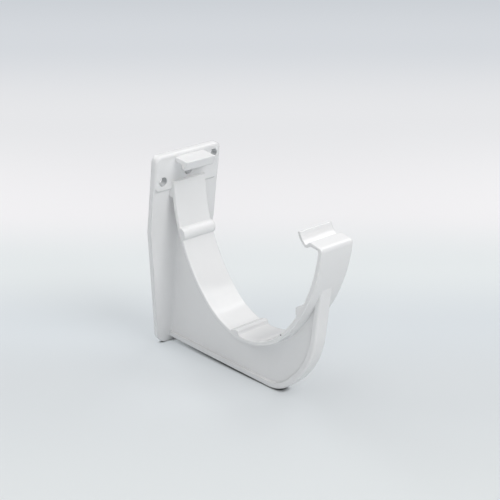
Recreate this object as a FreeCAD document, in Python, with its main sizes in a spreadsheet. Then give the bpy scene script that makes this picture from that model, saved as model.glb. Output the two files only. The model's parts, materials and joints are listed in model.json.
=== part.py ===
import math
import os

import FreeCAD
import Part
import Sketcher

V = FreeCAD.Vector

# All sizes of the bracket in mm and degrees. Y is 0 on the fascia and negative in front of it.
# Heights run up from the bottom edge of the back plate, drops run down from its top edge,
# and lifts run up from the floor of the cradle.
sizes = {
    "plate_height": 126.5,
    "plate_width": 49.0,
    "plate_foot_width": 26.0,
    "plate_kink_height": 78.5,
    "plate_thickness": 3.0,
    "plate_top_radius": 4.0,
    "plate_foot_radius": 8.0,
    "plate_rim_radius": 2.0,
    "head_raise": 1.5,
    "head_height": 21.5,
    "head_corner_radius": 4.0,
    "head_draft": 45.0,
    "screw_hole_diameter": 5.6,
    "screw_spacing": 37.2,
    "screw_low_drop": 16.2,
    "screw_high_drop": 6.1,
    "screw_middle_drop": 12.4,
    "strip_width": 24.0,
    "strip_thickness": 2.6,
    "strip_top_drop": 16.9,
    "strip_join_drop": 27.0,
    "strip_edge_radius": 0.5,
    "cut_clearance": 2.0,
    "cradle_back_gap": 5.54,
    "cradle_floor_drop": 88.2,
    "cradle_bottom_radius": 42.4,
    "back_flank_radius": 95.2,
    "back_flank_angle": 37.5,
    "front_flank_radius": 96.3,
    "front_flank_angle": 52.9,
    "lip_corner_radius": 2.5,
    "lip_thickness": 1.4,
    "lip_root_step": 0.5,
    "lip_ridge_reach": 8.9,
    "lip_ridge_rise": 0.75,
    "lip_under_step": 0.7,
    "lip_heel_run": 1.6,
    "lip_curl_reach": 7.0,
    "lip_curl_radius": 10.9,
    "lip_curl_dip": 3.0,
    "lip_curl_dip_angle": 64.5,
    "lip_curl_tip_angle": 22.5,
    "lip_tip_radius": 0.6,
    "hook_width": 21.6,
    "hook_top_step": 0.15,
    "hook_thickness": 2.9,
    "hook_reach": 14.9,
    "hook_lip_slant": 1.6,
    "hook_lip_depth": 5.7,
    "hook_lip_thickness": 2.3,
    "hook_lip_flare": 0.8,
    "hook_lip_bevel": 0.7,
    "hook_edge_radius": 0.5,
    "back_rib_lift": 41.0,
    "back_rib_radius": 4.0,
    "rib_root_depth": 1.2,
    "floor_rib_rise": 2.3,
    "floor_rib_back": 5.0,
    "floor_rib_front": 2.9,
    "floor_rib_slant": 0.6,
    "floor_rib_toe_run": 2.0,
    "floor_rib_toe_rise": 0.8,
    "floor_rib_bevel_run": 3.2,
    "floor_rib_bevel_drop": 1.5,
    "floor_rib_crest_radius": 0.5,
    "front_rib_lift": 31.7,
    "front_rib_nose_step": 1.6,
    "front_rib_tip_step": 4.2,
    "front_rib_top_step": 4.4,
    "front_rib_rise": 3.0,
    "front_rib_nose_rise": 0.7,
    "web_thickness": 5.6,
    "web_root_radius": 1.5,
    "flange_overhang": 0.15,
    "flange_thickness": 3.7,
    "flange_edge_radius": 1.2,
    "flange_back_height": 2.7,
    "flange_slope": 5.8,
    "flange_front_setback": 3.3,
    "flange_sweep_radius": 54.0,
    "flange_toe_radius": 24.0,
    "flange_toe_dip": 5.47,
}

doc = FreeCAD.newDocument("gutter_bracket")
sheet = doc.addObject("Spreadsheet::Sheet", "Sizes")
row = 1
for name, value in sizes.items():
    sheet.set("A%d" % row, name)
    sheet.set("B%d" % row, str(value))
    sheet.setAlias("B%d" % row, name)
    row += 1

# Heights and centres that several outlines share, worked out in the sheet.
shared = {
    "hook_top_height": "=plate_height - plate_rim_radius - hook_top_step",
    "head_bottom_height": "=plate_height - head_height",
    "screw_low_height": "=plate_height - screw_low_drop",
    "screw_high_height": "=plate_height - screw_high_drop",
    "screw_middle_height": "=plate_height - screw_middle_drop",
    "strip_top_height": "=plate_height - strip_top_drop",
    "strip_join_height": "=plate_height - strip_join_drop",
    "cradle_floor_height": "=plate_height - cradle_floor_drop",
    "cradle_centre_out": "=back_flank_radius + cradle_back_gap"
                         " - (back_flank_radius - cradle_bottom_radius) * sin(back_flank_angle)",
    "cradle_centre_height": "=cradle_floor_height + cradle_bottom_radius",
    "back_flank_out": "=back_flank_radius + cradle_back_gap",
    "back_flank_height": "=cradle_centre_height"
                         " + (back_flank_radius - cradle_bottom_radius) * cos(back_flank_angle)",
    "front_flank_out": "=cradle_centre_out - (front_flank_radius - cradle_bottom_radius)"
                       " * sin(front_flank_angle)",
    "front_flank_height": "=cradle_centre_height"
                          " + (front_flank_radius - cradle_bottom_radius) * cos(front_flank_angle)",
    "lip_top_height": "=front_flank_height + lip_corner_radius",
    "plate_depth": "=plate_thickness + head_raise",
    "back_rib_height": "=cradle_floor_height + back_rib_lift",
    "front_rib_root_height": "=cradle_floor_height + front_rib_lift",
    "front_rib_nose_height": "=front_rib_root_height + front_rib_nose_step",
    "front_rib_tip_height": "=front_rib_nose_height + front_rib_tip_step",
    "front_rib_top_height": "=front_rib_tip_height + front_rib_top_step",
    "flange_width": "=web_thickness + 2 * (web_root_radius + flange_overhang)",
    "flange_front_out": "=front_flank_out + front_flank_radius + strip_thickness"
                        " - flange_front_setback",
    "flange_front_foot": "=flange_back_height"
                         " + (flange_front_out - flange_sweep_radius - plate_thickness)"
                         " * tan(flange_slope)"
                         " + (flange_sweep_radius - flange_toe_dip) / cos(flange_slope)",
}
for name, formula in shared.items():
    sheet.set("A%d" % row, name)
    sheet.set("B%d" % row, formula)
    sheet.setAlias("B%d" % row, name)
    row += 1
doc.recompute()


def size(name):
    return float(sheet.get(name))


body = doc.addObject("PartDesign::Body", "gutter_bracket")
body.Label = "gutter_bracket"
planes = {item.Role: item for item in body.Origin.OriginFeatures}


# A sketch on one origin plane, whose rules are bound to the sheet.
class Outline:
    def __init__(self, name, plane):
        self.sketch = body.newObject("Sketcher::SketchObject", name)
        self.sketch.AttachmentSupport = [(planes[plane], "")]
        self.sketch.MapMode = "FlatFace"
        self.count = 0

    def rule(self, *words):
        return self.sketch.addConstraint(Sketcher.Constraint(*words))

    def bind(self, index, expression):
        self.sketch.setExpression("Constraints[%d]" % index, expression)

    def line(self, start, end):
        item = Part.LineSegment(V(start[0], start[1], 0), V(end[0], end[1], 0))
        return self.sketch.addGeometry(item, False)

    def arc(self, centre, radius, start, end):
        circle = Part.Circle(V(centre[0], centre[1], 0), V(0, 0, 1), radius)
        first = math.atan2(start[1] - centre[1], start[0] - centre[0])
        last = math.atan2(end[1] - centre[1], end[0] - centre[0])
        while last < first:
            last += 2 * math.pi
        return self.sketch.addGeometry(Part.ArcOfCircle(circle, first, last), False)

    def circle(self, centre, radius):
        item = Part.Circle(V(centre[0], centre[1], 0), V(0, 0, 1), radius)
        return self.sketch.addGeometry(item, False)

    def point(self, place):
        return self.sketch.addGeometry(Part.Point(V(place[0], place[1], 0)), True)

    def join(self, first, first_end, second, second_end):
        self.rule("Coincident", first, first_end, second, second_end)

    def smooth(self, first, first_end, second, second_end):
        self.rule("Tangent", first, first_end, second, second_end)

    def across(self, item, end, value, expression):
        self.bind(self.rule("DistanceX", -1, 1, item, end, value), expression)

    def along(self, item, end, value, expression):
        self.bind(self.rule("DistanceY", -1, 1, item, end, value), expression)

    def radius(self, item, value, expression):
        self.bind(self.rule("Radius", item, value), expression)

    def apart(self, first, first_end, second, second_end, value, expression):
        self.bind(self.rule("Distance", first, first_end, second, second_end, value), expression)


def on_circle(centre, radius, height, side):
    return (centre[0] + side * math.sqrt(radius ** 2 - (height - centre[1]) ** 2), height)


def polar(centre, radius, degrees):
    turn = math.radians(degrees)
    return (centre[0] + radius * math.cos(turn), centre[1] + radius * math.sin(turn))


def pad(name, outline, length, midplane):
    feature = body.newObject("PartDesign::Pad", name)
    feature.Profile = outline.sketch
    feature.setExpression("Length", length)
    feature.Midplane = midplane
    outline.sketch.Visibility = False
    doc.recompute()
    return feature


def fillet(name, radius, wanted):
    base = body.Tip
    edges = []
    for number, edge in enumerate(base.Shape.Edges, 1):
        if wanted(edge):
            edges.append("Edge%d" % number)
    feature = body.newObject("PartDesign::Fillet", name)
    feature.Base = (base, edges)
    feature.setExpression("Radius", radius)
    doc.recompute()
    return feature


# Back plate: full depth of its raised head first, with rounded corners.
half = size("plate_width") / 2
foot = size("plate_foot_width") / 2
kink = size("plate_kink_height")
top = size("plate_height")
corners = [(-foot, 0), (foot, 0), (half, kink), (half, top), (-half, top), (-half, kink)]
plate_outline = Outline("PlateOutline", "XZ_Plane")
sides = []
for index, corner in enumerate(corners):
    sides.append(plate_outline.line(corner, corners[(index + 1) % 6]))
for index in range(6):
    plate_outline.join(sides[index], 2, sides[(index + 1) % 6], 1)
plate_outline.across(sides[0], 1, -foot, "-Sizes.plate_foot_width / 2")
plate_outline.across(sides[0], 2, foot, "Sizes.plate_foot_width / 2")
plate_outline.across(sides[2], 1, half, "Sizes.plate_width / 2")
plate_outline.across(sides[2], 2, half, "Sizes.plate_width / 2")
plate_outline.across(sides[4], 1, -half, "-Sizes.plate_width / 2")
plate_outline.across(sides[4], 2, -half, "-Sizes.plate_width / 2")
plate_outline.rule("PointOnObject", sides[0], 1, -1)
plate_outline.rule("PointOnObject", sides[0], 2, -1)
plate_outline.along(sides[2], 1, kink, "Sizes.plate_kink_height")
plate_outline.along(sides[4], 2, kink, "Sizes.plate_kink_height")
plate_outline.along(sides[2], 2, top, "Sizes.plate_height")
plate_outline.along(sides[4], 1, top, "Sizes.plate_height")
plate = pad("Plate", plate_outline, "Sizes.plate_depth", False)


def across_plate(edge, x, z):
    first, last = edge.Vertexes[0].Point, edge.Vertexes[-1].Point
    same = abs(first.x - last.x) < 0.01 and abs(first.z - last.z) < 0.01
    return same and abs(abs(first.x) - x) < 0.01 and abs(first.z - z) < 0.01


fillet("PlateTopCorners", "Sizes.plate_top_radius", lambda edge: across_plate(edge, half, top))
fillet("PlateFootCorners", "Sizes.plate_foot_radius", lambda edge: across_plate(edge, foot, 0))


def on_front_rim(edge):
    deep = size("plate_depth")
    middle = edge.valueAt((edge.FirstParameter + edge.LastParameter) / 2)
    places = [p.Point for p in edge.Vertexes] + [middle]
    return all(abs(p.y + deep) < 0.01 for p in places)


fillet("PlateRim", "Sizes.plate_rim_radius", on_front_rim)

# The face below the raised head lies back by the height of the head, past a sloped edge.
clear = size("cut_clearance")
edge_out = half + clear
low = size("head_bottom_height")
bend = size("head_corner_radius")
recess = Outline("RecessOutline", "XZ_Plane")
recess.sketch.setExpression("AttachmentOffset.Base.z", "Sizes.plate_depth")
path = [
    recess.line((-edge_out, -clear), (edge_out, -clear)),
    recess.line((edge_out, -clear), (edge_out, low + bend)),
    recess.line((edge_out, low + bend), (half, low + bend)),
    recess.arc((half - bend, low + bend), bend, (half - bend, low), (half, low + bend)),
    recess.line((half - bend, low), (-half + bend, low)),
    recess.arc((-half + bend, low + bend), bend, (-half, low + bend), (-half + bend, low)),
    recess.line((-half, low + bend), (-edge_out, low + bend)),
    recess.line((-edge_out, low + bend), (-edge_out, -clear)),
]
recess.join(path[0], 2, path[1], 1)
recess.join(path[1], 2, path[2], 1)
recess.join(path[2], 2, path[3], 2)
recess.smooth(path[3], 1, path[4], 1)
recess.smooth(path[4], 2, path[5], 2)
recess.join(path[5], 1, path[6], 1)
recess.join(path[6], 2, path[7], 1)
recess.join(path[7], 2, path[0], 1)
for item in (path[0], path[2], path[4], path[6]):
    recess.rule("Horizontal", item)
for item in (path[1], path[7]):
    recess.rule("Vertical", item)
for item in (path[3], path[5]):
    recess.radius(item, bend, "Sizes.head_corner_radius")
recess.along(path[0], 1, -clear, "-Sizes.cut_clearance")
recess.across(path[0], 1, -edge_out, "-Sizes.plate_width / 2 - Sizes.cut_clearance")
recess.across(path[1], 1, edge_out, "Sizes.plate_width / 2 + Sizes.cut_clearance")
recess.across(path[3], 2, half, "Sizes.plate_width / 2")
recess.across(path[5], 1, -half, "-Sizes.plate_width / 2")
recess.along(path[4], 1, low, "Sizes.head_bottom_height")
recess.along(path[2], 1, low + bend, "Sizes.head_bottom_height + Sizes.head_corner_radius")
recess.along(path[6], 1, low + bend, "Sizes.head_bottom_height + Sizes.head_corner_radius")
doc.recompute()
face = body.newObject("PartDesign::Pocket", "FaceRecess")
face.Profile = recess.sketch
face.setExpression("Length", "Sizes.head_raise")
face.setExpression("TaperAngle", "-Sizes.head_draft")
face.Reversed = False
doc.recompute()


# Cradle lines in side view, with Y across and Z along: a bottom arc between two flank arcs.
thick = size("strip_thickness")
bottom = (-size("cradle_centre_out"), size("cradle_centre_height"))
back = (-size("back_flank_out"), size("back_flank_height"))
front = (-size("front_flank_out"), size("front_flank_height"))
small = size("cradle_bottom_radius")
wide_back = size("back_flank_radius")
wide_front = size("front_flank_radius")
meet_back = size("back_flank_angle") - 90
meet_front = -90 - size("front_flank_angle")
arm_top = front[1]
in_plate = -size("plate_thickness") / 2


def draw_corners(outline, places, texts):
    lines = []
    for index, place in enumerate(places):
        lines.append(outline.line(place, places[(index + 1) % len(places)]))
    for index, item in enumerate(lines):
        outline.join(item, 2, lines[(index + 1) % len(lines)], 1)
    for item, place, text in zip(lines, places, texts):
        outline.across(item, 1, place[0], text[0])
        outline.along(item, 1, place[1], text[1])
    return lines


# Under the cradle: a web, with a narrow flange along its lower and front edges.
# Both follow one chain: a rising bottom line, a toe arc, a wide sweep and an upright front line.
def chain_points(inset):
    slope = math.radians(size("flange_slope"))
    along = (-math.cos(slope), math.sin(slope))
    down = (-math.sin(slope), -math.cos(slope))
    toe_r = size("flange_toe_radius") - inset
    sweep_r = size("flange_sweep_radius") - inset
    start_y = -size("plate_thickness")
    start_z = size("flange_back_height") + inset / math.cos(slope)
    sweep = (-size("flange_front_out") + size("flange_sweep_radius"), size("flange_front_foot"))
    base = (start_y - toe_r * down[0], start_z - toe_r * down[1])
    gap_y = base[0] - sweep[0]
    gap_z = base[1] - sweep[1]
    middle = along[0] * gap_y + along[1] * gap_z
    reach = math.sqrt(middle ** 2 - gap_y ** 2 - gap_z ** 2 + (sweep_r - toe_r) ** 2) - middle
    toe = (base[0] + reach * along[0], base[1] + reach * along[1])
    line_end = (toe[0] + toe_r * down[0], toe[1] + toe_r * down[1])
    away = math.hypot(toe[0] - sweep[0], toe[1] - sweep[1])
    scale = sweep_r / away
    arcs_meet = (sweep[0] + (toe[0] - sweep[0]) * scale, sweep[1] + (toe[1] - sweep[1]) * scale)
    front_foot = (-size("flange_front_out") + inset, size("flange_front_foot"))
    rise = (in_plate - start_y) * math.tan(slope)
    line_start = (in_plate, start_z - rise)
    return {
        "start": line_start, "end": line_end, "toe": toe, "toe_r": toe_r,
        "meet": arcs_meet, "sweep": sweep, "sweep_r": sweep_r, "foot": front_foot,
    }


def draw_chain(outline, inset, inset_text, front_end):
    place = chain_points(inset)
    bottom_line = outline.line(place["start"], place["end"])
    toe_arc = outline.arc(place["toe"], place["toe_r"], place["meet"], place["end"])
    sweep_arc = outline.arc(place["sweep"], place["sweep_r"], place["foot"], place["meet"])
    front_line = outline.line(place["foot"], front_end)
    outline.smooth(bottom_line, 2, toe_arc, 2)
    outline.smooth(toe_arc, 1, sweep_arc, 2)
    outline.join(sweep_arc, 1, front_line, 1)
    outline.rule("Horizontal", sweep_arc, 1, sweep_arc, 3)
    outline.rule("Vertical", front_line)
    outline.radius(toe_arc, place["toe_r"], "Sizes.flange_toe_radius - " + inset_text)
    outline.radius(sweep_arc, place["sweep_r"], "Sizes.flange_sweep_radius - " + inset_text)
    outline.across(front_line, 1, place["foot"][0], "-Sizes.flange_front_out + " + inset_text)
    outline.along(front_line, 1, place["foot"][1], "Sizes.flange_front_foot")
    outline.across(bottom_line, 1, in_plate, "-Sizes.plate_thickness / 2")
    start_text = "Sizes.flange_back_height - Sizes.plate_thickness / 2 * tan(Sizes.flange_slope)"
    start_text += " + " + inset_text + " / cos(Sizes.flange_slope)"
    outline.along(bottom_line, 1, place["start"][1], start_text)
    turned = outline.rule("Angle", bottom_line, math.radians(180 - size("flange_slope")))
    outline.bind(turned, "180 deg - Sizes.flange_slope * 1 deg")
    return bottom_line, front_line


def on_flank_outer(out, radius):
    return front[1] - math.sqrt(radius ** 2 - (out - front[0]) ** 2)


middle_r = wide_front + thick / 2
outer_front = -size("flange_front_out")
inner_front = outer_front + size("flange_thickness")
band = size("flange_thickness")
web_front = outer_front + band / 2
web_end = (web_front, on_flank_outer(web_front, middle_r))
middle_small = small + thick / 2
middle_back = wide_back + thick / 2
web_join = on_circle(back, middle_back, size("strip_join_height"), 1)
web_outline = Outline("WebOutline", "YZ_Plane")
web_bottom, web_up = draw_chain(web_outline, band / 2, "Sizes.flange_thickness / 2", web_end)
web_front_arc = web_outline.arc(front, middle_r, web_end, polar(bottom, middle_small, meet_front))
web_arc = web_outline.arc(
    bottom, middle_small, polar(bottom, middle_small, meet_front), polar(bottom, middle_small, meet_back))
web_back_arc = web_outline.arc(back, middle_back, polar(bottom, middle_small, meet_back), web_join)
web_top = web_outline.line(web_join, (in_plate, web_join[1]))
web_back = web_outline.line((in_plate, web_join[1]), chain_points(band / 2)["start"])
web_outline.join(web_up, 2, web_front_arc, 1)
web_outline.smooth(web_front_arc, 2, web_arc, 1)
web_outline.smooth(web_arc, 2, web_back_arc, 1)
web_outline.join(web_back_arc, 2, web_top, 1)
web_outline.join(web_top, 2, web_back, 1)
web_outline.join(web_back, 2, web_bottom, 1)
web_outline.rule("Horizontal", web_top)
web_outline.rule("Vertical", web_back)
web_outline.across(web_arc, 3, bottom[0], "-Sizes.cradle_centre_out")
web_outline.along(web_arc, 3, bottom[1], "Sizes.cradle_centre_height")
web_outline.across(web_back_arc, 3, back[0], "-Sizes.back_flank_out")
web_outline.along(web_back_arc, 3, back[1], "Sizes.back_flank_height")
web_outline.across(web_front_arc, 3, front[0], "-Sizes.front_flank_out")
web_outline.along(web_front_arc, 3, front[1], "Sizes.front_flank_height")
web_outline.radius(web_arc, middle_small, "Sizes.cradle_bottom_radius + Sizes.strip_thickness / 2")
web_outline.along(web_top, 1, web_join[1], "Sizes.strip_join_height")
web = pad("Web", web_outline, "Sizes.web_thickness", True)


def at_web_root(edge):
    wall = size("plate_thickness")
    side = size("web_thickness") / 2
    ends = [p.Point for p in edge.Vertexes]
    flush = all(abs(p.y + wall) < 0.01 and abs(abs(p.x) - side) < 0.01 for p in ends)
    return flush and edge.Length > size("strip_join_height") / 2


fillet("WebRoot", "Sizes.web_root_radius", at_web_root)

# Cradle strip, front arm and clip lip are one band.
strip_start = on_circle(back, wide_back, size("strip_top_height"), 1)
back_meet = polar(bottom, small, meet_back)
front_meet = polar(bottom, small, meet_front)
arm_in = (front[0] - wide_front, arm_top)
arm_out = (front[0] - wide_front - thick, arm_top)
front_under = polar(bottom, small + thick, meet_front)
back_under = polar(bottom, small + thick, meet_back)
strip_join = on_circle(back, wide_back + thick, size("strip_join_height"), 1)
strip_plate_low = (in_plate, size("strip_join_height"))
strip_plate_top = (in_plate, size("strip_top_height"))

# The lip turns in from the arm, rises to a ridge, dips and curls up to a rounded tip.
lip_top = size("lip_top_height")
turn = size("lip_corner_radius")
lip_thick = size("lip_thickness")
curl_in = size("lip_curl_radius")
curl = (arm_out[0] + size("lip_curl_reach"), lip_top + curl_in - size("lip_curl_dip"))
turn_centre = (arm_out[0] + turn, arm_top)
lip_ridge = (arm_out[0] + size("lip_ridge_reach"), lip_top + size("lip_ridge_rise"))
ridge_step = (lip_ridge[0] - turn_centre[0], lip_ridge[1] - turn_centre[1])
ridge_turn = math.atan2(ridge_step[1], ridge_step[0]) + math.acos(turn / math.hypot(*ridge_step))
lip_flat = polar(turn_centre, turn, math.degrees(ridge_turn))
dip_top = polar(curl, curl_in, -size("lip_curl_dip_angle"))
tip_top = polar(curl, curl_in, -size("lip_curl_tip_angle"))
tip_low = polar(curl, curl_in + lip_thick, -size("lip_curl_tip_angle"))
dip_low = polar(curl, curl_in + lip_thick, -size("lip_curl_dip_angle"))
lip_heel = (dip_low[0] - size("lip_heel_run"), dip_low[1])
lip_under = (lip_ridge[0] - size("lip_under_step"), lip_top - lip_thick)
lip_root = (arm_in[0] + size("lip_root_step"), lip_top - lip_thick)

cradle = Outline("CradleOutline", "YZ_Plane")
back_arc = cradle.arc(back, wide_back, back_meet, strip_start)
bottom_arc = cradle.arc(bottom, small, front_meet, back_meet)
front_arc = cradle.arc(front, wide_front, arm_in, front_meet)
root_line = cradle.line(arm_in, lip_root)
under_line = cradle.line(lip_root, lip_under)
heel_line = cradle.line(lip_under, lip_heel)
dip_line = cradle.line(lip_heel, dip_low)
curl_low = cradle.arc(curl, curl_in + lip_thick, dip_low, tip_low)
tip_line = cradle.line(tip_low, tip_top)
curl_top = cradle.arc(curl, curl_in, dip_top, tip_top)
ridge_line = cradle.line(dip_top, lip_ridge)
top_line = cradle.line(lip_ridge, lip_flat)
turn_arc = cradle.arc(turn_centre, turn, lip_flat, arm_out)
front_outer = cradle.arc(front, wide_front + thick, arm_out, front_under)
bottom_outer = cradle.arc(bottom, small + thick, front_under, back_under)
back_outer = cradle.arc(back, wide_back + thick, back_under, strip_join)
join_line = cradle.line(strip_join, strip_plate_low)
plate_line = cradle.line(strip_plate_low, strip_plate_top)
start_line = cradle.line(strip_plate_top, strip_start)
cradle.smooth(back_arc, 1, bottom_arc, 2)
cradle.smooth(bottom_arc, 1, front_arc, 2)
cradle.join(front_arc, 1, root_line, 1)
cradle.join(root_line, 2, under_line, 1)
cradle.join(under_line, 2, heel_line, 1)
cradle.join(heel_line, 2, dip_line, 1)
cradle.join(dip_line, 2, curl_low, 1)
cradle.join(curl_low, 2, tip_line, 1)
cradle.join(tip_line, 2, curl_top, 2)
cradle.join(curl_top, 1, ridge_line, 1)
cradle.join(ridge_line, 2, top_line, 1)
cradle.smooth(top_line, 2, turn_arc, 1)
cradle.join(turn_arc, 2, front_outer, 1)
cradle.smooth(front_outer, 2, bottom_outer, 1)
cradle.smooth(bottom_outer, 2, back_outer, 1)
cradle.join(back_outer, 2, join_line, 1)
cradle.join(join_line, 2, plate_line, 1)
cradle.join(plate_line, 2, start_line, 1)
cradle.join(start_line, 2, back_arc, 2)
cradle.join(front_outer, 3, front_arc, 3)
cradle.join(bottom_outer, 3, bottom_arc, 3)
cradle.join(back_outer, 3, back_arc, 3)
cradle.join(curl_top, 3, curl_low, 3)
for item in (under_line, dip_line, join_line, start_line):
    cradle.rule("Horizontal", item)
cradle.rule("Vertical", plate_line)
cradle.across(bottom_arc, 3, bottom[0], "-Sizes.cradle_centre_out")
cradle.along(bottom_arc, 3, bottom[1], "Sizes.cradle_centre_height")
cradle.across(back_arc, 3, back[0], "-Sizes.back_flank_out")
cradle.along(back_arc, 3, back[1], "Sizes.back_flank_height")
cradle.across(front_arc, 3, front[0], "-Sizes.front_flank_out")
cradle.along(front_arc, 3, front[1], "Sizes.front_flank_height")
cradle.radius(bottom_arc, small, "Sizes.cradle_bottom_radius")
cradle.radius(bottom_outer, small + thick, "Sizes.cradle_bottom_radius + Sizes.strip_thickness")
cradle.along(back_arc, 2, size("strip_top_height"), "Sizes.strip_top_height")
cradle.along(back_outer, 2, size("strip_join_height"), "Sizes.strip_join_height")
cradle.across(plate_line, 1, in_plate, "-Sizes.plate_thickness / 2")
cradle.rule("Horizontal", front_arc, 1, front_arc, 3)
cradle.rule("Horizontal", front_outer, 1, front_outer, 3)
cradle.rule("Horizontal", turn_arc, 2, turn_arc, 3)
cradle.radius(turn_arc, turn, "Sizes.lip_corner_radius")


def step_x(outline, first, first_end, second, second_end, value, expression):
    outline.bind(outline.rule("DistanceX", first, first_end, second, second_end, value), expression)


def step_y(outline, first, first_end, second, second_end, value, expression):
    outline.bind(outline.rule("DistanceY", first, first_end, second, second_end, value), expression)


step_x(cradle, front_outer, 1, ridge_line, 2, size("lip_ridge_reach"), "Sizes.lip_ridge_reach")
step_y(cradle, turn_arc, 3, ridge_line, 2, ridge_step[1],
       "Sizes.lip_corner_radius + Sizes.lip_ridge_rise")
step_x(cradle, front_outer, 1, curl_top, 3, size("lip_curl_reach"), "Sizes.lip_curl_reach")
step_y(cradle, turn_arc, 3, curl_top, 3, curl[1] - arm_top,
       "Sizes.lip_corner_radius + Sizes.lip_curl_radius - Sizes.lip_curl_dip")
cradle.radius(curl_top, curl_in, "Sizes.lip_curl_radius")
cradle.radius(curl_low, curl_in + lip_thick, "Sizes.lip_curl_radius + Sizes.lip_thickness")
step_y(cradle, turn_arc, 3, under_line, 1, turn - lip_thick,
       "Sizes.lip_corner_radius - Sizes.lip_thickness")
step_x(cradle, front_arc, 1, under_line, 1, size("lip_root_step"), "Sizes.lip_root_step")
step_x(cradle, under_line, 2, ridge_line, 2, size("lip_under_step"), "Sizes.lip_under_step")
step_x(cradle, dip_line, 1, dip_line, 2, size("lip_heel_run"), "Sizes.lip_heel_run")
dip_turn = "Sizes.lip_curl_radius * cos(Sizes.lip_curl_dip_angle)"
step_x(cradle, curl_top, 3, curl_top, 1, dip_top[0] - curl[0], dip_turn)
dip_turn = "(Sizes.lip_curl_radius + Sizes.lip_thickness) * cos(Sizes.lip_curl_dip_angle)"
step_x(cradle, curl_top, 3, curl_low, 1, dip_low[0] - curl[0], dip_turn)
tip_turn = "-Sizes.lip_curl_radius * sin(Sizes.lip_curl_tip_angle)"
step_y(cradle, curl_top, 3, curl_top, 2, tip_top[1] - curl[1], tip_turn)
tip_turn = "-(Sizes.lip_curl_radius + Sizes.lip_thickness) * sin(Sizes.lip_curl_tip_angle)"
step_y(cradle, curl_top, 3, curl_low, 2, tip_low[1] - curl[1], tip_turn)
strip = pad("Strip", cradle, "Sizes.strip_width", True)


def on_strip_side(edge):
    side = size("strip_width") / 2
    flat = all(abs(abs(p.Point.x) - side) < 0.01 for p in edge.Vertexes)
    middle = edge.valueAt((edge.FirstParameter + edge.LastParameter) / 2)
    round_edge = hasattr(edge.Curve, "Radius") and edge.Curve.Radius > small - 0.01
    return flat and abs(abs(middle.x) - side) < 0.01 and round_edge


fillet("StripEdges", "Sizes.strip_edge_radius", on_strip_side)


def on_lip_tip(edge):
    ends = [p.Point for p in edge.Vertexes]
    at_top = all(math.hypot(p.y - tip_top[0], p.z - tip_top[1]) < 0.01 for p in ends)
    at_low = all(math.hypot(p.y - tip_low[0], p.z - tip_low[1]) < 0.01 for p in ends)
    return at_top or at_low


fillet("LipTip", "min(Sizes.lip_tip_radius; Sizes.lip_thickness * 0.45)", on_lip_tip)

outer_end = (outer_front, on_flank_outer(outer_front, middle_r))
inner_end = (inner_front, on_flank_outer(inner_front, middle_r))
flange_outline = Outline("FlangeOutline", "YZ_Plane")
outer_bottom, outer_up = draw_chain(flange_outline, 0.0, "0", outer_end)
inner_bottom, inner_up = draw_chain(flange_outline, band, "Sizes.flange_thickness", inner_end)
flange_back = flange_outline.line(chain_points(0.0)["start"], chain_points(band)["start"])
flange_top = flange_outline.arc(front, middle_r, outer_end, inner_end)
flange_outline.join(flange_back, 1, outer_bottom, 1)
flange_outline.join(flange_back, 2, inner_bottom, 1)
flange_outline.join(flange_top, 1, outer_up, 2)
flange_outline.join(flange_top, 2, inner_up, 2)
flange_outline.across(flange_top, 3, front[0], "-Sizes.front_flank_out")
flange_outline.along(flange_top, 3, front[1], "Sizes.front_flank_height")
flange_outline.radius(flange_top, middle_r, "Sizes.front_flank_radius + Sizes.strip_thickness / 2")
flange = pad("Flange", flange_outline, "Sizes.flange_width", True)


def on_flange_rim(edge):
    side = size("flange_width") / 2
    ends = [p.Point for p in edge.Vertexes]
    middle = edge.valueAt((edge.FirstParameter + edge.LastParameter) / 2)
    if any(abs(abs(p.x) - side) > 0.01 for p in ends + [middle]):
        return False
    place = chain_points(0.0)
    down_front = abs(middle.y - outer_front) < 0.01
    in_sweep = abs(math.hypot(middle.y - place["sweep"][0], middle.z - place["sweep"][1])
                   - place["sweep_r"]) < 0.01 and middle.z < place["foot"][1]
    in_toe = abs(math.hypot(middle.y - place["toe"][0], middle.z - place["toe"][1])
                 - place["toe_r"]) < 0.01
    slope = math.tan(math.radians(size("flange_slope")))
    on_bottom = abs(middle.z - place["start"][1] + (middle.y - in_plate) * slope) < 0.01
    return down_front or in_sweep or in_toe or on_bottom


fillet("FlangeRim", "Sizes.flange_edge_radius", on_flange_rim)

# Rear hook: a shelf from the top of the plate with a lip turned down at its front.
hook_top = size("hook_top_height")
reach = -size("hook_reach")
slant = size("hook_lip_slant")
drop = hook_top - size("hook_lip_depth")
shelf = hook_top - size("hook_thickness")
lip_wall = size("hook_lip_thickness")
flare = size("hook_lip_flare")
bevel = size("hook_lip_bevel")
hook_corners = [
    (in_plate, hook_top),
    (in_plate, shelf),
    (reach + slant + lip_wall + flare, shelf),
    (reach + slant + lip_wall, drop + bevel),
    (reach + slant, drop),
    (reach, hook_top),
]
hook_texts = [
    ("-Sizes.plate_thickness / 2", "Sizes.hook_top_height"),
    ("-Sizes.plate_thickness / 2", "Sizes.hook_top_height - Sizes.hook_thickness"),
    ("-Sizes.hook_reach + Sizes.hook_lip_slant + Sizes.hook_lip_thickness + Sizes.hook_lip_flare",
     "Sizes.hook_top_height - Sizes.hook_thickness"),
    ("-Sizes.hook_reach + Sizes.hook_lip_slant + Sizes.hook_lip_thickness",
     "Sizes.hook_top_height - Sizes.hook_lip_depth + Sizes.hook_lip_bevel"),
    ("-Sizes.hook_reach + Sizes.hook_lip_slant", "Sizes.hook_top_height - Sizes.hook_lip_depth"),
    ("-Sizes.hook_reach", "Sizes.hook_top_height"),
]
hook_outline = Outline("HookOutline", "YZ_Plane")
draw_corners(hook_outline, hook_corners, hook_texts)
hook = pad("Hook", hook_outline, "Sizes.hook_width", True)


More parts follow.
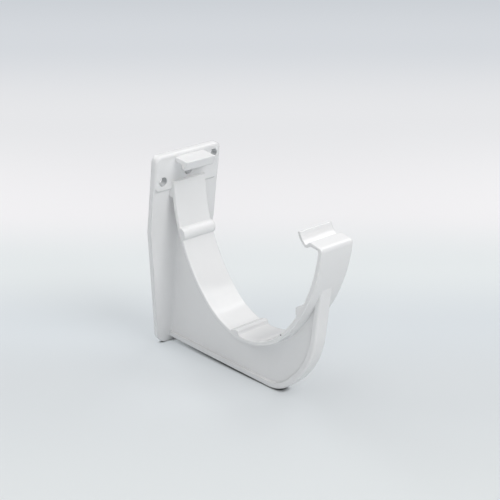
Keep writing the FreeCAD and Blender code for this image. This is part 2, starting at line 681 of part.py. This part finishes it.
def on_hook_top(edge):
    side = size("hook_width") / 2
    ends = [p.Point for p in edge.Vertexes]
    level = all(abs(p.z - hook_top) < 0.01 and abs(p.x) < side + 0.01 for p in ends)
    at_front = all(abs(p.y - reach) < 0.01 for p in ends)
    at_side = all(abs(abs(p.x) - side) < 0.01 for p in ends) and edge.Length < abs(reach)
    return level and (at_front or at_side)


fillet("HookEdges", "Sizes.hook_edge_radius", on_hook_top)

# Half-round rib across the back flank of the cradle, rooted inside the strip.
root = size("rib_root_depth")
bead_r = size("back_rib_radius")
bead = on_circle(back, wide_back + root, size("back_rib_height"), 1)
lean = math.atan2(bead[1] - back[1], bead[0] - back[0])
bead_low = (bead[0] + bead_r * math.sin(lean), bead[1] - bead_r * math.cos(lean))
bead_high = (bead[0] - bead_r * math.sin(lean), bead[1] + bead_r * math.cos(lean))
bead_outline = Outline("BackRibOutline", "YZ_Plane")
flank_spot = bead_outline.point(back)
bead_arc = bead_outline.arc(bead, bead_r, bead_high, bead_low)
bead_line = bead_outline.line(bead_low, bead_high)
bead_outline.join(bead_arc, 2, bead_line, 1)
bead_outline.join(bead_arc, 1, bead_line, 2)
bead_outline.across(flank_spot, 1, back[0], "-Sizes.back_flank_out")
bead_outline.along(flank_spot, 1, back[1], "Sizes.back_flank_height")
bead_outline.apart(flank_spot, 1, bead_arc, 3, wide_back + root,
                   "Sizes.back_flank_radius + Sizes.rib_root_depth")
bead_outline.along(bead_arc, 3, bead[1], "Sizes.back_rib_height")
bead_outline.radius(bead_arc, bead_r, "Sizes.back_rib_radius")
bead_outline.rule("PointOnObject", bead_arc, 3, bead_line)
far = math.hypot(wide_back + root, bead_r)
bead_outline.apart(flank_spot, 1, bead_line, 1, far,
                   "sqrt((Sizes.back_flank_radius + Sizes.rib_root_depth)^2 + Sizes.back_rib_radius^2)")
back_rib = pad("BackRib", bead_outline, "Sizes.strip_width", True)

# Low step across the cradle floor: a ramp behind, a steep front and a sloped toe.
floor = size("cradle_floor_height")
middle_y = -size("cradle_centre_out")
crest = floor + size("floor_rib_rise")
step_back = middle_y + size("floor_rib_back")
step_front = middle_y - size("floor_rib_front")
step_face = step_front + size("floor_rib_toe_run")
step_crest = step_face + size("floor_rib_slant")
step_corners = [
    (step_back, floor - root),
    (step_back, crest - size("floor_rib_bevel_drop")),
    (step_back - size("floor_rib_bevel_run"), crest),
    (step_crest, crest),
    (step_face, floor + size("floor_rib_toe_rise")),
    (step_front, floor - root),
]
back_text = "-Sizes.cradle_centre_out + Sizes.floor_rib_back"
front_text = "-Sizes.cradle_centre_out - Sizes.floor_rib_front"
face_text = front_text + " + Sizes.floor_rib_toe_run"
root_text = "Sizes.cradle_floor_height - Sizes.rib_root_depth"
crest_text = "Sizes.cradle_floor_height + Sizes.floor_rib_rise"
step_texts = [
    (back_text, root_text),
    (back_text, crest_text + " - Sizes.floor_rib_bevel_drop"),
    (back_text + " - Sizes.floor_rib_bevel_run", crest_text),
    (face_text + " + Sizes.floor_rib_slant", crest_text),
    (face_text, "Sizes.cradle_floor_height + Sizes.floor_rib_toe_rise"),
    (front_text, root_text),
]
step_outline = Outline("FloorRibOutline", "YZ_Plane")
draw_corners(step_outline, step_corners, step_texts)
floor_rib = pad("FloorRib", step_outline, "Sizes.strip_width", True)


def on_step_crest(edge):
    return all(abs(p.Point.y - step_crest) < 0.01 and abs(p.Point.z - crest) < 0.01
               for p in edge.Vertexes)


fillet("FloorRibCrest", "Sizes.floor_rib_crest_radius", on_step_crest)

# Ledge across the front flank: a stop face on top that runs out into the strip below.
ledge_depths = [root, -size("front_rib_rise"), -size("front_rib_nose_rise"), root]
ledge_heights = [
    "front_rib_top_height", "front_rib_tip_height", "front_rib_nose_height", "front_rib_root_height"]
ledge_texts = [
    "Sizes.front_flank_radius + Sizes.rib_root_depth",
    "Sizes.front_flank_radius - Sizes.front_rib_rise",
    "Sizes.front_flank_radius - Sizes.front_rib_nose_rise",
    "Sizes.front_flank_radius + Sizes.rib_root_depth",
]
ledge_corners = []
for depth, name in zip(ledge_depths, ledge_heights):
    ledge_corners.append(on_circle(front, wide_front + depth, size(name), -1))
ledge_outline = Outline("FrontRibOutline", "YZ_Plane")
front_spot = ledge_outline.point(front)
ledge_outline.across(front_spot, 1, front[0], "-Sizes.front_flank_out")
ledge_outline.along(front_spot, 1, front[1], "Sizes.front_flank_height")
ledge_lines = []
for index, corner in enumerate(ledge_corners):
    ledge_lines.append(ledge_outline.line(corner, ledge_corners[(index + 1) % 4]))
for index, item in enumerate(ledge_lines):
    ledge_outline.join(item, 2, ledge_lines[(index + 1) % 4], 1)
for item, depth, text, name in zip(ledge_lines, ledge_depths, ledge_texts, ledge_heights):
    ledge_outline.apart(front_spot, 1, item, 1, wide_front + depth, text)
    ledge_outline.along(item, 1, size(name), "Sizes." + name)
front_rib = pad("FrontRib", ledge_outline, "Sizes.strip_width", True)

# Two screw holes, one low and one high, so that the bracket can't turn on the fascia,
# and a third between them under the hook.
screw = size("screw_spacing") / 2
hole_r = size("screw_hole_diameter") / 2
hole_outline = Outline("HoleOutline", "XZ_Plane")
low_hole = hole_outline.circle((-screw, size("screw_low_height")), hole_r)
high_hole = hole_outline.circle((screw, size("screw_high_height")), hole_r)
middle_hole = hole_outline.circle((0, size("screw_middle_height")), hole_r)
hole_outline.across(low_hole, 3, -screw, "-Sizes.screw_spacing / 2")
hole_outline.along(low_hole, 3, size("screw_low_height"), "Sizes.screw_low_height")
hole_outline.across(high_hole, 3, screw, "Sizes.screw_spacing / 2")
hole_outline.along(high_hole, 3, size("screw_high_height"), "Sizes.screw_high_height")
hole_outline.rule("PointOnObject", middle_hole, 3, -2)
hole_outline.along(middle_hole, 3, size("screw_middle_height"), "Sizes.screw_middle_height")
hole_outline.radius(low_hole, hole_r, "Sizes.screw_hole_diameter / 2")
hole_outline.radius(high_hole, hole_r, "Sizes.screw_hole_diameter / 2")
hole_outline.radius(middle_hole, hole_r, "Sizes.screw_hole_diameter / 2")
before_holes = body.Tip.Shape.Volume
holes = body.newObject("PartDesign::Pocket", "ScrewHoles")
holes.Profile = hole_outline.sketch
holes.Midplane = True
holes.setExpression("Length", "Sizes.plate_depth * 2 + Sizes.cut_clearance")
doc.recompute()
print("screw holes removed", round(before_holes - holes.Shape.Volume, 1))

# The frame starts on the fascia, half way between the two screws.
body.setExpression("Placement.Base.z", "-(Sizes.screw_low_height + Sizes.screw_high_height) / 2")
doc.recompute()

for item in doc.Objects:
    if "Invalid" in item.State or "Error" in item.State:
        raise RuntimeError("not built: " + item.Name)
shape = body.Shape
if shape.isNull() or not shape.isValid() or len(shape.Solids) != 1:
    raise RuntimeError("the bracket is not one valid solid")
os.makedirs("parts", exist_ok=True)
shape.exportStep("parts/gutter_bracket.step")
box = shape.optimalBoundingBox()
print("box", round(box.XLength, 2), round(box.YLength, 2), round(box.ZLength, 2))
print("from", round(box.XMin, 2), round(box.YMin, 2), round(box.ZMin, 2))
print("volume in cm3", round(shape.Volume / 1000, 2))
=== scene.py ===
import bpy
import json
import math
from mathutils import Matrix, Vector

# lengths are in metres and angles in degrees, in the bracket's own frame
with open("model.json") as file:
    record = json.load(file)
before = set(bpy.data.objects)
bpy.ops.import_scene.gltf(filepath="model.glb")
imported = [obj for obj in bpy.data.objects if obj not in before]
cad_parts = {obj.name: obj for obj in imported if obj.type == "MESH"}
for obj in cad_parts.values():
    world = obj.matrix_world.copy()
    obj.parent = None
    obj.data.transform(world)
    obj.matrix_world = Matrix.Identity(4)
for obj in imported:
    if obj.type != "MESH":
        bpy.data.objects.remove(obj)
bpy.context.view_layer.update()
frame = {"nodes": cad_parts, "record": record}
bracket = frame["nodes"]["gutter_bracket"]
mmPerMetre = 1000
print("frame loaded:", len(bracket.data.polygons), "faces on the bracket")


# helpers for node trees

def link(tree, source, target):
    tree.links.new(source, target)


def mathNode(tree, operation, *sources, clamp=False):
    node = tree.nodes.new("ShaderNodeMath")
    node.operation = operation
    node.use_clamp = clamp
    for socket, source in zip(node.inputs, sources):
        link(tree, source, socket)
    return node.outputs["Value"]


def vectorNode(tree, operation, *sources):
    node = tree.nodes.new("ShaderNodeVectorMath")
    node.operation = operation
    for socket, source in zip(node.inputs, sources):
        link(tree, source, socket)
    return node.outputs["Value" if operation == "LENGTH" else "Vector"]


def noiseNode(tree, place, scale, detail):
    node = tree.nodes.new("ShaderNodeTexNoise")
    node.inputs["Detail"].default_value = detail
    link(tree, place, node.inputs["Vector"])
    link(tree, scale, node.inputs["Scale"])
    return node


# 0 to 1 between two values, or from a given start to 1
def rangeNode(tree, value, low, high, start=0.0, smooth=False):
    node = tree.nodes.new("ShaderNodeMapRange")
    node.interpolation_type = "SMOOTHSTEP" if smooth else "LINEAR"
    node.inputs["From Min"].default_value = low
    node.inputs["From Max"].default_value = high
    node.inputs["To Min"].default_value = start
    link(tree, value, node.inputs["Value"])
    return node.outputs["Result"]


def colourMix(tree, blend="MIX"):
    mix = tree.nodes.new("ShaderNodeMix")
    mix.data_type = "RGBA"
    mix.blend_type = blend
    return mix


def alongY(tree, place):
    split = tree.nodes.new("ShaderNodeSeparateXYZ")
    link(tree, place, split.inputs["Vector"])
    return split.outputs["Y"]


# 1 for what the camera sees, straight or mirrored in a glossy surface
def seenMask(tree):
    rays = tree.nodes.new("ShaderNodeLightPath")
    return mathNode(tree, "ADD", rays.outputs["Is Camera Ray"], rays.outputs["Is Glossy Ray"], clamp=True)


def newMaterial(name):
    material = bpy.data.materials.new(name)
    material.use_nodes = True
    return material, material.node_tree, material.node_tree.nodes["Principled BSDF"]


def axesMatrix(first, second, third, spot):
    return Matrix((
        (first.x, second.x, third.x, spot.x),
        (first.y, second.y, third.y, spot.y),
        (first.z, second.z, third.z, spot.z),
        (0, 0, 0, 1)))


# shared node groups

def newGroup(name, inputs, outputs):
    tree = bpy.data.node_groups.new(name, "ShaderNodeTree")
    for label, kind in inputs:
        tree.interface.new_socket(name=label, in_out="INPUT", socket_type=kind)
    for label, kind in outputs:
        tree.interface.new_socket(name=label, in_out="OUTPUT", socket_type=kind)
    return tree, tree.nodes.new("NodeGroupInput").outputs, tree.nodes.new("NodeGroupOutput").inputs


skinNoise = {
    "driftDetail": 3.0,
    "driftRoughness": 0.55,
    "waveDetail": 1.0,
    "grainDetail": 2.0,
}


# moulded skin: slow tint drift, satin patches, a faint waviness and a very fine grain
def mouldedSkinGroup(noise):
    tree, given, made = newGroup(
        "mouldedSkin",
        [("Vector", "NodeSocketVector"),
         ("Drift Scale", "NodeSocketFloat"),
         ("Wave Scale", "NodeSocketFloat"),
         ("Grain Scale", "NodeSocketFloat"),
         ("Light Tint", "NodeSocketColor"),
         ("Dark Tint", "NodeSocketColor"),
         ("Gloss", "NodeSocketFloat"),
         ("Gloss Spread", "NodeSocketFloat")],
        [("Color", "NodeSocketColor"),
         ("Roughness", "NodeSocketFloat"),
         ("Wave", "NodeSocketFloat"),
         ("Grain", "NodeSocketFloat")])
    drift = noiseNode(tree, given["Vector"], given["Drift Scale"], noise["driftDetail"])
    drift.inputs["Roughness"].default_value = noise["driftRoughness"]
    tint = colourMix(tree)
    link(tree, drift.outputs["Fac"], tint.inputs["Factor"])
    link(tree, given["Light Tint"], tint.inputs["A"])
    link(tree, given["Dark Tint"], tint.inputs["B"])
    link(tree, tint.outputs["Result"], made["Color"])
    satin = mathNode(tree, "MULTIPLY_ADD", drift.outputs["Fac"], given["Gloss Spread"], given["Gloss"])
    link(tree, satin, made["Roughness"])
    wave = noiseNode(tree, given["Vector"], given["Wave Scale"], noise["waveDetail"])
    link(tree, wave.outputs["Fac"], made["Wave"])
    grain = noiseNode(tree, given["Vector"], given["Grain Scale"], noise["grainDetail"])
    link(tree, grain.outputs["Fac"], made["Grain"])
    return tree


# soft-edged round mask about a point, or about an axis where Keep drops one direction
def roundSpotGroup():
    tree, given, made = newGroup(
        "roundSpot",
        [("Vector", "NodeSocketVector"),
         ("Centre", "NodeSocketVector"),
         ("Keep", "NodeSocketVector"),
         ("Radius", "NodeSocketFloat"),
         ("Edge", "NodeSocketFloat")],
        [("Mask", "NodeSocketFloat")])
    offset = vectorNode(tree, "SUBTRACT", given["Vector"], given["Centre"])
    kept = vectorNode(tree, "MULTIPLY", offset, given["Keep"])
    distance = vectorNode(tree, "LENGTH", kept)
    inside = mathNode(tree, "SUBTRACT", given["Radius"], distance)
    mask = mathNode(tree, "DIVIDE", inside, given["Edge"], clamp=True)
    link(tree, mask, made["Mask"])
    return tree


mouldedSkin = mouldedSkinGroup(skinNoise)
roundSpot = roundSpotGroup()
print("node groups ready")

pvcFinish = {
    "lightTint": (0.87, 0.87, 0.872, 1),
    "darkTint": (0.845, 0.846, 0.85, 1),
    "driftScale": 22.0,
    "gloss": 0.11,  # roughness, with the spread that the drift adds
    "glossSpread": 0.08,
    "ior": 1.53,
    "edgeRound": 0.0008,  # how far the moulding's edges and corners look softened
    "edgeSamples": 6,
    "waveScale": 110.0,
    "waveStrength": 1.0,
    "waveHeight": 0.0002,
    "grainScale": 1500.0,
    "grainStrength": 0.05,
    "grainHeight": 0.00006,
}

# painted shade inside the three screw holes: their walls darken with depth from the mouth
paintedHoleShade = {
    "pairSlant": 15.19,  # lean of the line through the two outer holes
    "rim": 0.00012,
    "startDepth": 0.0001,
    "fullDepth": 0.0006,
    "keep": (1, 0, 1),  # the holes run along Y
    # colour of the painted shade deep in the holes
    "tint": (0.5, 0.51, 0.52, 1),
}

# one dark fleck in the moulding, on the cradle's near edge
fleck = {
    "centre": (-0.012, -0.1023, -0.061),
    "radius": 0.0006,
    "edge": 0.0002,
    "keep": (1, 1, 1),
    "tint": (0.06, 0.06, 0.06, 1),
}


def spotMask(tree, place, centre, keep, radius, edge):
    spot = tree.nodes.new("ShaderNodeGroup")
    spot.node_tree = roundSpot
    spot.inputs["Centre"].default_value = centre
    spot.inputs["Keep"].default_value = keep
    spot.inputs["Radius"].default_value = radius
    spot.inputs["Edge"].default_value = edge
    link(tree, place, spot.inputs["Vector"])
    return spot.outputs["Mask"]


# mask of the screw holes' walls for their painted shade, from the imported record's mounts
def paintedHoleShadeMask(tree, place, shade):
    mounts = {mount["name"]: mount for mount in frame["record"]["mounts"]}
    middle = mounts["middle_screw"]
    pairReach = mounts["fascia_screws"]["dims"]["pcd_mm"] / 2 / mmPerMetre
    slant = math.radians(shade["pairSlant"])
    outer = Vector((math.cos(slant), 0, math.sin(slant))) * pairReach
    radius = middle["dims"]["r_mm"] / mmPerMetre + shade["rim"]
    mouth = -middle["dims"]["length_mm"] / mmPerMetre
    depth = rangeNode(tree, alongY(tree, place), mouth + shade["startDepth"], mouth + shade["fullDepth"])
    left, right, centre = [
        spotMask(tree, place, spot, shade["keep"], radius, shade["rim"])
        for spot in (-outer, outer, Vector(middle["pos_m"]))]
    anyHole = mathNode(tree, "MAXIMUM", mathNode(tree, "MAXIMUM", left, right), centre)
    return mathNode(tree, "MULTIPLY", anyHole, depth)


def tinted(tree, colour, mask, tint):
    mix = colourMix(tree)
    mix.inputs["B"].default_value = tint
    link(tree, mask, mix.inputs["Factor"])
    link(tree, colour, mix.inputs["A"])
    return mix.outputs["Result"]


def bumped(tree, normal, height, strength, distance):
    bump = tree.nodes.new("ShaderNodeBump")
    bump.inputs["Strength"].default_value = strength
    bump.inputs["Distance"].default_value = distance
    link(tree, height, bump.inputs["Height"])
    link(tree, normal, bump.inputs["Normal"])
    return bump.outputs["Normal"]


def whitePvc(finish, holes, speck):
    material, tree, shader = newMaterial("whitePvc")
    place = tree.nodes.new("ShaderNodeTexCoord").outputs["Object"]
    skin = tree.nodes.new("ShaderNodeGroup")
    skin.node_tree = mouldedSkin
    skin.inputs["Drift Scale"].default_value = finish["driftScale"]
    skin.inputs["Wave Scale"].default_value = finish["waveScale"]
    skin.inputs["Grain Scale"].default_value = finish["grainScale"]
    skin.inputs["Light Tint"].default_value = finish["lightTint"]
    skin.inputs["Dark Tint"].default_value = finish["darkTint"]
    skin.inputs["Gloss"].default_value = finish["gloss"]
    skin.inputs["Gloss Spread"].default_value = finish["glossSpread"]
    link(tree, place, skin.inputs["Vector"])
    # the screw holes' walls take painted shade, darker with depth
    colour = tinted(tree, skin.outputs["Color"], paintedHoleShadeMask(tree, place, holes), holes["tint"])
    speckMask = spotMask(tree, place, speck["centre"], speck["keep"], speck["radius"], speck["edge"])
    colour = tinted(tree, colour, speckMask, speck["tint"])
    link(tree, colour, shader.inputs["Base Color"])
    link(tree, skin.outputs["Roughness"], shader.inputs["Roughness"])
    rounded = tree.nodes.new("ShaderNodeBevel")
    rounded.samples = finish["edgeSamples"]
    rounded.inputs["Radius"].default_value = finish["edgeRound"]
    normal = rounded.outputs["Normal"]
    normal = bumped(tree, normal, skin.outputs["Wave"], finish["waveStrength"], finish["waveHeight"])
    normal = bumped(tree, normal, skin.outputs["Grain"], finish["grainStrength"], finish["grainHeight"])
    link(tree, normal, shader.inputs["Normal"])
    shader.inputs["IOR"].default_value = finish["ior"]
    return material


bracket.data.materials.clear()
bracket.data.materials.append(whitePvc(pvcFinish, paintedHoleShade, fleck))
print("white pvc on the bracket")

# the photograph's camera: the aim point lands on the aim pixel
viewpoint = {
    "azimuth": -45.48,
    "elevation": 26.25,
    "roll": 5.62,
    "focalPixels": 1282.7,
    "imagePixels": 500,
    "aimPoint": (0, -0.04615, -0.0692),
    "aimPixel": (227.0, 300.8),
    "distance": 0.74845,
    "sensorMm": 36.0,
    "clipStart": 0.01,
    "clipEnd": 50.0,
}


def makeCamera(setup):
    turn = math.radians(setup["azimuth"])
    rise = math.radians(setup["elevation"])
    roll = math.radians(setup["roll"])
    back = Vector((math.sin(turn) * math.cos(rise), -math.cos(turn) * math.cos(rise), math.sin(rise)))
    level = Vector((math.cos(turn), math.sin(turn), 0))
    upright = back.cross(level)
    right = level * math.cos(roll) + upright * math.sin(roll)
    up = upright * math.cos(roll) - level * math.sin(roll)
    middle = setup["imagePixels"] / 2
    perPixel = setup["distance"] / setup["focalPixels"]
    spot = Vector(setup["aimPoint"]) + back * setup["distance"]
    spot -= right * (setup["aimPixel"][0] - middle) * perPixel
    spot += up * (setup["aimPixel"][1] - middle) * perPixel
    data = bpy.data.cameras.new("camera")
    data.sensor_width = setup["sensorMm"]
    data.lens = setup["focalPixels"] / setup["imagePixels"] * setup["sensorMm"]
    data.clip_start = setup["clipStart"]
    data.clip_end = setup["clipEnd"]
    camera = bpy.data.objects.new("camera", data)
    camera.matrix_world = axesMatrix(right, up, back, spot)
    bpy.context.scene.collection.objects.link(camera)
    bpy.context.scene.camera = camera
    return back


lookBack = makeCamera(viewpoint)
print("camera at", viewpoint["azimuth"], "degrees round and", viewpoint["elevation"], "up")

# the bracket leans forward on its heel and toe, so the floor tilts to meet both
floorLook = {
    "reach": 9.0,
    "clearance": 0.00005,
    "heelBand": 0.00001,  # points this near the lowest one belong to the heel
    "toeReach": 0.03,  # the toe lies at least this far in front of the heel
    "roughness": 0.6,
    "bounce": 0.95,  # share of its colour that the floor throws back on the bracket
    "litNear": 0.20,  # lit floor up to here from the heel, glowing backdrop past the next
    "evenFar": 0.55,
    "evenShare": 0.42,  # share of painted glow that the lit floor has too, which lifts its shadows
    "contactReach": 0.0034,  # painted contact shadow, a dark line where the bracket touches or nearly touches
    "contactOpen": (0.2, 0.66),
    "contactSamples": 6,
    # distance away from the heel along the view, and the shade there: painted light falloff, with a
    # painted bright band
    "shades": [
        (-0.20, (0.735, 0.765, 0.775)),
        (-0.07, (0.69, 0.72, 0.74)),
        (0.02, (0.715, 0.755, 0.785)),
        (0.12, (0.815, 0.85, 0.86)),
        (0.24, (0.925, 0.917, 0.932)),
        (0.52, (0.795, 0.80, 0.818)),
        (0.90, (0.67, 0.695, 0.73)),
        (1.30, (0.605, 0.635, 0.672)),
    ],
}


def restingPlane(look):
    points = [vertex.co for vertex in bracket.data.vertices]
    lowest = min(point.z for point in points)
    heelFront = min(point.y for point in points if point.z < lowest + look["heelBand"])
    heel = Vector((0, heelFront, lowest))
    ahead = [point for point in points if point.y < heel.y - look["toeReach"]]
    lean = min(math.atan2(point.z - heel.z, heel.y - point.y) for point in ahead)
    return heel, Vector((0, math.sin(lean), math.cos(lean))), lean


# the floor's shades, one behind the other along the view: painted light and shade, a bright band between
# darker near and far ends
def paintedFloorLightRamp(tree, place, shades):
    first, last = shades[0][0], shades[-1][0]
    ramp = tree.nodes.new("ShaderNodeValToRGB")
    ramp.color_ramp.interpolation = "EASE"
    elements = ramp.color_ramp.elements
    while len(elements) < len(shades):
        elements.new(0.5)
    for element, (distance, shade) in zip(elements, shades):
        element.position = (distance - first) / (last - first)
        element.color = (*shade, 1)
    link(tree, rangeNode(tree, alongY(tree, place), first, last), ramp.inputs["Fac"])
    return ramp.outputs["Color"]


# painted contact shadow: a narrow dark line where the floor is all but covered
def paintedContactShadow(tree, look):
    cover = tree.nodes.new("ShaderNodeAmbientOcclusion")
    cover.samples = look["contactSamples"]
    cover.inputs["Distance"].default_value = look["contactReach"]
    return rangeNode(tree, cover.outputs["AO"], *look["contactOpen"], smooth=True)


# lit floor round the bracket, which takes its shadow, and a glowing backdrop further off; the lit floor
# also glows in part, painted light that lifts its shadows
def paleFloor(look):
    material, tree, shader = newMaterial("paleFloor")
    shader.inputs["Roughness"].default_value = look["roughness"]
    place = tree.nodes.new("ShaderNodeTexCoord").outputs["Object"]
    shade = colourMix(tree, "MULTIPLY")
    shade.inputs["Factor"].default_value = 1.0
    link(tree, paintedFloorLightRamp(tree, place, look["shades"]), shade.inputs["A"])
    # the floor's colour takes the painted contact shadow
    link(tree, paintedContactShadow(tree, look), shade.inputs["B"])
    bounced = tree.nodes.new("ShaderNodeLightPath").outputs["Is Diffuse Ray"]
    dull = colourMix(tree, "MULTIPLY")
    dull.inputs["B"].default_value = (look["bounce"], look["bounce"], look["bounce"], 1)
    link(tree, bounced, dull.inputs["Factor"])
    link(tree, shade.outputs["Result"], dull.inputs["A"])
    link(tree, dull.outputs["Result"], shader.inputs["Base Color"])
    radius = vectorNode(tree, "LENGTH", place)
    fade = rangeNode(tree, radius, look["litNear"], look["evenFar"], start=look["evenShare"], smooth=True)
    # painted light: the floor glows with its own shades where the camera sees it
    even = tree.nodes.new("ShaderNodeEmission")
    link(tree, shade.outputs["Result"], even.inputs["Color"])
    choose = tree.nodes.new("ShaderNodeMixShader")
    link(tree, mathNode(tree, "MULTIPLY", fade, seenMask(tree)), choose.inputs[0])
    link(tree, shader.outputs["BSDF"], choose.inputs[1])
    link(tree, even.outputs["Emission"], choose.inputs[2])
    link(tree, choose.outputs["Shader"], tree.nodes["Material Output"].inputs["Surface"])
    return material


def makeFloor(look):
    heel, normal, lean = restingPlane(look)
    away = -(lookBack - normal * lookBack.dot(normal))
    away.normalize()
    side = away.cross(normal)
    half = look["reach"]
    mesh = bpy.data.meshes.new("floor")
    corners = [(-half, -half, 0), (half, -half, 0), (half, half, 0), (-half, half, 0)]
    mesh.from_pydata(corners, [], [(0, 1, 2, 3)])
    floor = bpy.data.objects.new("floor", mesh)
    floor.matrix_world = axesMatrix(side, away, normal, heel - normal * look["clearance"])
    bpy.context.scene.collection.objects.link(floor)
    mesh.materials.append(paleFloor(look))
    print("floor tilted by", round(math.degrees(lean), 2), "degrees to heel and toe")
    return side, away, normal


floorSide, floorAway, floorUp = makeFloor(floorLook)

# round soft boxes, placed by side, away and height from the middle of the bracket
studio = {
    "middle": (0, -0.06, -0.06),
    "boxes": {
        "keyBox": {"place": (0.73, 0.25, 0.85), "size": 0.5, "power": 1.5},
        "topBox": {"place": (0.0, 0.0, 1.3), "size": 1.1, "power": 3.2},
        "rightBox": {"place": (0.65, -0.65, 0.92), "size": 0.85, "power": 8.0},
        "frontBox": {"place": (0.0, -1.22, 0.445), "size": 0.7, "power": 2.5},
        "leftBox": {"place": (-0.71, -0.71, 0.83), "size": 0.8, "power": 2.8},
        "sideBox": {"place": (-0.92, 0.0, 0.92), "size": 0.7, "power": 2.2},
        "backBox": {"place": (-0.72, 0.72, 0.82), "size": 0.8, "power": 4.2},
        "farBox": {"place": (0.60, 0.68, 0.92), "size": 0.7, "power": 1.8},
    },
}


# past the floor's end the room has the floor's last shade, and it lights nothing
def makeRoom(shade):
    world = bpy.data.worlds.new("softRoom")
    world.use_nodes = True
    tree = world.node_tree
    backdrop = tree.nodes["Background"]
    backdrop.inputs["Color"].default_value = (*shade, 1)
    link(tree, seenMask(tree), backdrop.inputs["Strength"])
    bpy.context.scene.world = world


def makeLights(setup):
    middle = Vector(setup["middle"])
    for name, box in setup["boxes"].items():
        data = bpy.data.lights.new(name, "AREA")
        data.shape = "DISK"
        data.size = box["size"]
        data.energy = box["power"]
        lamp = bpy.data.objects.new(name, data)
        across, deep, high = box["place"]
        lamp.location = middle + floorSide * across + floorAway * deep + floorUp * high
        lamp.rotation_mode = "QUATERNION"
        lamp.rotation_quaternion = (middle - lamp.location).to_track_quat("-Z", "Y")
        bpy.context.scene.collection.objects.link(lamp)


farShade = floorLook["shades"][-1][1]
makeRoom(farShade)
makeLights(studio)
bpy.context.scene.view_settings.view_transform = "Standard"
print("room and", len(studio["boxes"]), "soft boxes ready")
